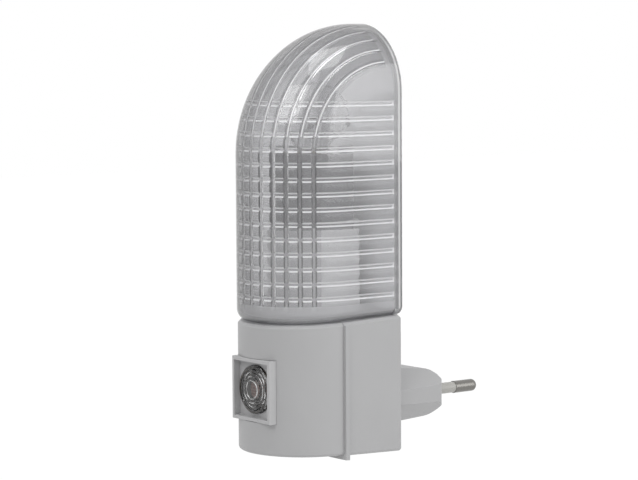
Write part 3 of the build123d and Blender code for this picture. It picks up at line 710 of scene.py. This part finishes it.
def lens_outline(crown_y, back_y, flange_reach):
    """Reach and depth along the lens's outline, from its crown round to its inner face."""
    top_reach = LENS_RADIUS - LENS_EDGE
    places = []
    for step in range(LENS_POINTS + 1):
        reach = top_reach * step / LENS_POINTS
        fall = LENS_FALL * (reach / LENS_RADIUS) ** 2
        places.append((reach, crown_y + fall + groove_depth(reach)))
    top_y = places[-1][1]
    for step in range(1, LENS_EDGE_STEPS + 1):
        turn = math.pi / 2 * step / LENS_EDGE_STEPS
        reach = top_reach + LENS_EDGE * math.sin(turn)
        places.append((reach, top_y + LENS_EDGE * (1 - math.cos(turn))))
    seat_y = back_y - LENS_FLANGE_THICKNESS
    inner_y = crown_y + LENS_FALL + LENS_WALL
    inner_reach = LENS_RADIUS - LENS_WALL
    places += [
        (LENS_RADIUS, seat_y), (flange_reach, seat_y), (flange_reach, back_y),
        (inner_reach, back_y), (inner_reach, inner_y), (0.0, inner_y),
    ]
    return places


def make_lens(material):
    """The clear lens in the sensor window."""
    low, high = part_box("sensor_lens")
    middle = (low + high) / 2
    outline = lens_outline(low.y, high.y, high.x - middle.x)
    points = [(middle.x + reach, depth, middle.z) for reach, depth in outline]
    bm = spun_outline(points, middle, (0, 1, 0), LENS_TURN_STEPS)
    piece = finish_mesh(bm, "ringed_lens", material, LENS_SHARP_CORNER)
    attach(piece, "base")
    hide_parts("sensor_lens")


# Lamp

def bulb_side(low, high, inset):
    """Reach and height along the bulb's outline from crown to neck, drawn in by an inset."""
    belly = (high.x - low.x) / 2
    crown_z = high.z - belly
    belly -= inset
    neck = BULB_NECK - inset
    shoulder_z = low.z + BULB_NECK_RISE + BULB_SHOULDER + inset
    places = []
    for step in range(BULB_CURVE_STEPS + 1):
        turn = math.pi / 2 * step / BULB_CURVE_STEPS
        places.append((belly * math.sin(turn), crown_z + belly * math.cos(turn)))
    for step in range(BULB_CURVE_STEPS + 1):
        share = step / BULB_CURVE_STEPS
        reach = belly + (neck - belly) * fade(share, 0, 1)
        places.append((reach, shoulder_z - BULB_SHOULDER * share))
    return places + [(neck, low.z)]


def make_bulb(material):
    """The clear bulb as one thin shell."""
    low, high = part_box("bulb_glass")
    middle = (low + high) / 2
    outline = bulb_side(low, high, 0) + bulb_side(low, high, BULB_WALL)[::-1]
    points = [(middle.x + reach, middle.y, height) for reach, height in outline]
    bm = spun_outline(points, middle, (0, 0, 1), BULB_TURN_STEPS)
    piece = finish_mesh(bm, "round_bulb", material)
    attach(piece, "lamp")
    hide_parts("bulb_glass")


def make_filament(material):
    """The coiled filament, bowed up between its two supports."""
    low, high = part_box("bulb_filament")
    middle = (low + high) / 2
    start_z = low.z + FILAMENT_RISE + FILAMENT_COIL / 2
    start = Vector((middle.x - FILAMENT_REACH, middle.y, start_z))
    steps = FILAMENT_TURNS * FILAMENT_TURN_STEPS
    upright = Matrix.Rotation(math.pi / 2, 4, "X")
    place = Matrix.Translation(start + Vector((0, 0, FILAMENT_COIL)))
    bm = bmesh.new()
    bmesh.ops.create_circle(
        bm, segments=FILAMENT_WIRE_SIDES, radius=FILAMENT_WIRE, matrix=place @ upright
    )
    bmesh.ops.spin(
        bm, geom=bm.verts[:] + bm.edges[:], cent=start, axis=(1, 0, 0),
        angle=math.tau * FILAMENT_TURNS, steps=steps, dvec=(2 * FILAMENT_REACH / steps, 0, 0),
    )
    bmesh.ops.holes_fill(bm, edges=bm.edges[:], sides=FILAMENT_WIRE_SIDES)
    bmesh.ops.recalc_face_normals(bm, faces=bm.faces[:])
    for vert in bm.verts:
        share = (vert.co.x - middle.x) / FILAMENT_REACH
        vert.co.z += FILAMENT_BOW * max(1 - share * share, 0.0)
    piece = finish_mesh(bm, "coiled_filament", material)
    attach(piece, "lamp")
    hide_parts("bulb_filament")


# Housing, plug and column

housing_white = moulded_plastic("housing_white", HOUSING_COLOUR, HOUSING_ROUGHNESS)
rear_white_painted_light = moulded_plastic("rear_white_painted_light", HOUSING_COLOUR, HOUSING_ROUGHNESS)
# White coat on the panel's front, lighter low down: painted light over the column's shade
coat_panel_with_painted_light(
    rear_white_painted_light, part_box("lamp_pedestal")[0].z + DECK_TO_COAT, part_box("rear_cover")[1].z,
    (0.96, 0.96, 0.97), (0.64, 0.64, 0.65),
)
bezel_white = moulded_plastic("bezel_white", (0.43, 0.43, 0.435), 0.4)
column_white = moulded_plastic("column_white", (0.62, 0.62, 0.62), 0.5)
holder_grey = moulded_plastic("holder_grey", (0.14, 0.14, 0.145), 0.45)
sleeve_cream = moulded_plastic("sleeve_cream", (0.39, 0.385, 0.365), 0.4, grain=0.0004)
pin_nickel = worked_metal("pin_nickel", (0.22, 0.214, 0.202), 0.24)
plated_steel = worked_metal("plated_steel", (0.55, 0.55, 0.57), 0.3)
bright_brass = worked_metal("bright_brass", (0.72, 0.52, 0.22), 0.25)

paint(housing_white, "front_housing")
paint(rear_white_painted_light, "rear_cover")
paint(bezel_white, "sensor_bezel")
paint(column_white, "lamp_pedestal")
paint(holder_grey, "lamp_holder")
paint(sleeve_cream, "pin_sleeve_left", "pin_sleeve_right")
paint(pin_nickel, "plug_pin_left", "plug_pin_right")
paint(plated_steel, "housing_screws", "holder_nut")
paint(bright_brass, "holder_shell_contact", "holder_centre_contact")

# Circuit and wires

board_brown = moulded_plastic("board_brown", (0.30, 0.19, 0.08), 0.55, grain=0.0003)
epoxy_black = moulded_plastic("epoxy_black", (0.02, 0.02, 0.022), 0.45)
resistor_lacquer = banded_plastic(
    "resistor_lacquer", "resistors", (0.50, 0.36, 0.20),
    ((0.18, (0.25, 0.06, 0.02)), (0.36, (0.02, 0.02, 0.02)), (0.54, (0.45, 0.03, 0.02)),
     (0.78, (0.60, 0.42, 0.10))),
)
tinned_wire = worked_metal("tinned_wire", (0.66, 0.66, 0.66), 0.35)
jacket_brown = moulded_plastic("jacket_brown", (0.12, 0.045, 0.02), 0.5)
jacket_blue = moulded_plastic("jacket_blue", (0.02, 0.06, 0.25), 0.5)
jacket_black = moulded_plastic("jacket_black", (0.02, 0.02, 0.02), 0.5)

paint(board_brown, "control_board")
paint(epoxy_black, "rectifier_diodes", "thyristor")
paint(resistor_lacquer, "resistors")
paint(tinned_wire, "component_leads", "photocell_leads")
paint(jacket_brown, "live_wire")
paint(jacket_blue, "neutral_wire")
paint(jacket_black, "lamp_wire")

# Shade with its finishes, in the order of their slots

clear_shade_plastic = clear_finish(
    "clear_shade_plastic", (0.76, 0.76, 0.77), 0.05, (0.82, 0.82, 0.83), haze=0.09
)
tone_at_edges(clear_shade_plastic, (0.07, 0.07, 0.072))
# Near-white haze on the rib flanks and flute crests: painted highlights
rib_edge_painted_highlight = clear_finish(
    "rib_edge_painted_highlight", (0.97, 0.97, 0.98), 0.2, RIBBED_LIGHT_TINT, haze=0.82
)
# Near-black tint on the flute sides: painted dark lines of shade, going lighter over the dome
flute_side_painted_shade = clear_finish(
    "flute_side_painted_shade", (0.06, 0.06, 0.062), 0.08, RIBBED_LIGHT_TINT
)
tone_with_height(
    flute_side_painted_shade, dome_z - FLUTE_LIGHT_SPAN, dome_z + FLUTE_LIGHT_SPAN, (0.42, 0.42, 0.43)
)
# Darker tint on the strip along the rim: painted shade
rim_painted_shade = clear_finish(
    "rim_painted_shade", (0.42, 0.42, 0.425), 0.1, (0.76, 0.76, 0.77), haze=0.06
)
# Darker, hazier tint on the fluted front wall: painted shade
fluted_wall_painted_shade = clear_finish(
    "fluted_wall_painted_shade", (0.52, 0.52, 0.53), 0.12, RIBBED_LIGHT_TINT, haze=0.20
)
# Hazier, darker tint on the foot: a painted even grey over the shade seen through it
foot_painted_grey = clear_finish(
    "foot_painted_grey", (0.58, 0.58, 0.59), 0.3, RIBBED_LIGHT_TINT, haze=0.55
)

make_shade(
    clear_shade_plastic, rib_edge_painted_highlight, flute_side_painted_shade, rim_painted_shade,
    fluted_wall_painted_shade, foot_painted_grey,
)

# Sensor and its lens

sensor_face = sensing_track("sensor_face", (0.44, 0.27, 0.21), (0.27, 0.075, 0.055))
clear_lens_plastic = clear_finish(
    "clear_lens_plastic", (0.46, 0.46, 0.46), 0.03, (0.50, 0.50, 0.50)
)

paint(sensor_face, "photocell")
make_lens(clear_lens_plastic)

# Lamp with its cap

drawn_aluminium = worked_metal("drawn_aluminium", (0.72, 0.72, 0.72), 0.25)
black_glass = moulded_plastic("black_glass", (0.012, 0.012, 0.014), 0.15)
lamp_glass = clear_finish("lamp_glass", (0.95, 0.95, 0.95), 0.0, (0.92, 0.92, 0.92))
tungsten_wire = worked_metal("tungsten_wire", (0.30, 0.30, 0.31), 0.4)

paint(drawn_aluminium, "bulb_screw_cap", "bulb_contact_tip")
paint(black_glass, "bulb_cap_insulator")
paint(lamp_glass, "bulb_stem")
paint(tungsten_wire, "bulb_supports")
make_bulb(lamp_glass)
make_filament(tungsten_wire)


# Stage, light and camera

def pale_for_the_eye(tree, strength=1.0):
    """Shows plain white to the camera and to mirrors and glass, over what is lit."""
    path = tree.nodes.new("ShaderNodeLightPath")
    seen = path.outputs["Is Camera Ray"]
    for name in ("Is Glossy Ray", "Is Transmission Ray"):
        larger = tree.nodes.new("ShaderNodeMath")
        larger.operation = "MAXIMUM"
        tree.links.new(seen, larger.inputs[0])
        tree.links.new(path.outputs[name], larger.inputs[1])
        seen = larger.outputs["Value"]
    part = tree.nodes.new("ShaderNodeMath")
    part.operation = "MULTIPLY"
    part.inputs[1].default_value = strength
    tree.links.new(seen, part.inputs[0])
    return part.outputs["Value"]


def make_world():
    """Even light all round, and a white background."""
    world = bpy.data.worlds.new("studio")
    bpy.context.scene.world = world
    world.use_nodes = True
    tree = world.node_tree
    tree.nodes.clear()
    lit = tree.nodes.new("ShaderNodeBackground")
    lit.inputs["Color"].default_value = WHITE
    lit.inputs["Strength"].default_value = WORLD_LIGHT
    white = tree.nodes.new("ShaderNodeBackground")
    white.inputs["Color"].default_value = WHITE
    white.inputs["Strength"].default_value = 1.0
    mix = tree.nodes.new("ShaderNodeMixShader")
    tree.links.new(pale_for_the_eye(tree), mix.inputs["Fac"])
    tree.links.new(lit.outputs["Background"], mix.inputs[1])
    tree.links.new(white.outputs["Background"], mix.inputs[2])
    output = tree.nodes.new("ShaderNodeOutputWorld")
    tree.links.new(mix.outputs["Shader"], output.inputs["Surface"])


def make_floor():
    """A pale floor below the light that keeps a faint shadow."""
    bm = bmesh.new()
    bmesh.ops.create_grid(
        bm, x_segments=1, y_segments=1, size=FLOOR_SIZE / 2,
        matrix=Matrix.Translation((0, 0, cad_low.z - FLOOR_DROP)),
    )
    material, tree, shader = blank_material("pale_floor")
    shader.inputs["Base Color"].default_value = FLOOR_COLOUR
    shader.inputs["Roughness"].default_value = FLOOR_ROUGHNESS
    white = tree.nodes.new("ShaderNodeEmission")
    white.inputs["Strength"].default_value = FLOOR_GLOW
    mix = tree.nodes.new("ShaderNodeMixShader")
    tree.links.new(pale_for_the_eye(tree, FLOOR_WHITENESS), mix.inputs["Fac"])
    tree.links.new(shader.outputs["BSDF"], mix.inputs[1])
    tree.links.new(white.outputs["Emission"], mix.inputs[2])
    tree.links.new(mix.outputs["Shader"], tree.nodes["Material Output"].inputs["Surface"])
    floor = finish_mesh(bm, "floor", material)


def look_back(azimuth, elevation):
    """The direction from the light to an eye or a lamp, turned from the front and raised."""
    level = math.cos(elevation)
    return Vector((
        math.sin(azimuth) * level, -math.cos(azimuth) * level, math.sin(elevation)
    ))


def make_lamp(name, azimuth, elevation, distance, size, power):
    """A square studio lamp aimed at the middle of the light."""
    back = look_back(math.radians(azimuth), math.radians(elevation))
    data = bpy.data.lights.new(name, "AREA")
    data.size = size
    data.energy = power
    lamp = bpy.data.objects.new(name, data)
    lamp.location = (cad_low + cad_high) / 2 + back * distance
    lamp.rotation_mode = "QUATERNION"
    lamp.rotation_quaternion = (-back).to_track_quat("-Z", "Y")
    bpy.context.scene.collection.objects.link(lamp)


def make_camera():
    """The camera at the photograph's viewing angle."""
    back = look_back(PHOTO_AZIMUTH, PHOTO_ELEVATION)
    right = Vector((math.cos(PHOTO_AZIMUTH), math.sin(PHOTO_AZIMUTH), 0.0))
    up = back.cross(right)
    aim = right * PHOTO_SIDE_STEP + Vector((0, 0, PHOTO_AIM_HEIGHT))
    turned_right = right * math.cos(PHOTO_ROLL) + up * math.sin(PHOTO_ROLL)
    turned_up = up * math.cos(PHOTO_ROLL) - right * math.sin(PHOTO_ROLL)
    data = bpy.data.cameras.new("photo_camera")
    data.lens = PHOTO_LENS
    data.sensor_width = PHOTO_SENSOR
    data.sensor_fit = "HORIZONTAL"
    data.clip_start = CAMERA_NEAR
    data.clip_end = CAMERA_FAR
    camera = bpy.data.objects.new("photo_camera", data)
    turn = Matrix((turned_right, turned_up, back)).transposed()
    camera.matrix_world = Matrix.Translation(aim + back * PHOTO_DISTANCE) @ turn.to_4x4()
    bpy.context.scene.collection.objects.link(camera)
    bpy.context.scene.camera = camera


make_world()
make_floor()
make_lamp("key", azimuth=20, elevation=40, distance=0.9, size=0.5, power=2.4)
make_lamp("back_side", azimuth=115, elevation=19, distance=0.8, size=0.6, power=2.4)
make_lamp("top", azimuth=60, elevation=80, distance=0.8, size=0.4, power=1.5)
make_camera()
bpy.context.scene.view_settings.view_transform = "Standard"
